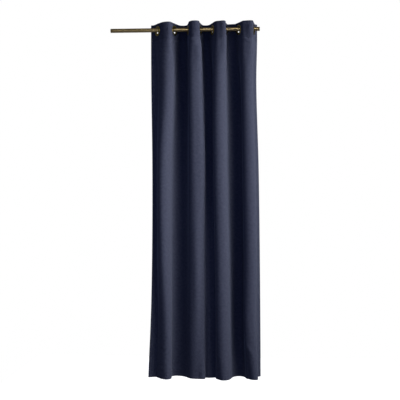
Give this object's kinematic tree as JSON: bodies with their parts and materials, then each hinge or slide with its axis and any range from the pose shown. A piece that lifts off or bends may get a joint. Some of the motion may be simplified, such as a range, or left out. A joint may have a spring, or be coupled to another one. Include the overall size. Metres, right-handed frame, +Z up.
{
  "type": "eyelet curtain with rod",
  "caption": "Dark plain curtain panel hanging in soft uneven folds from a round brass rod that passes through its ring eyelets.",
  "frame": {"origin": "on the rod's axis, under the middle of the curtain's heading", "axes": "+X along the rod to the picture's right, +Z up, -Y out of the curtain's face towards the room"},
  "size_m": [1.042, 0.1564, 2.4501],
  "materials": {
    "cloth": "soft brushed, dark navy",
    "eyelet_brass": "antique brass, satin",
    "rod_brass": "antique brass, satin"
  },
  "bodies": {
    "root": {"cloth_panel": "cloth", "eyelet_1_front": "eyelet_brass", "eyelet_1_back": "eyelet_brass", "eyelet_2_front": "eyelet_brass", "eyelet_2_back": "eyelet_brass", "eyelet_3_front": "eyelet_brass", "eyelet_3_back": "eyelet_brass", "eyelet_4_front": "eyelet_brass", "eyelet_4_back": "eyelet_brass", "eyelet_5_front": "eyelet_brass", "eyelet_5_back": "eyelet_brass", "eyelet_6_front": "eyelet_brass", "eyelet_6_back": "eyelet_brass", "eyelet_7_front": "eyelet_brass", "eyelet_7_back": "eyelet_brass", "eyelet_8_front": "eyelet_brass", "eyelet_8_back": "eyelet_brass", "rod": "rod_brass"}
  },
  "joints": []
}
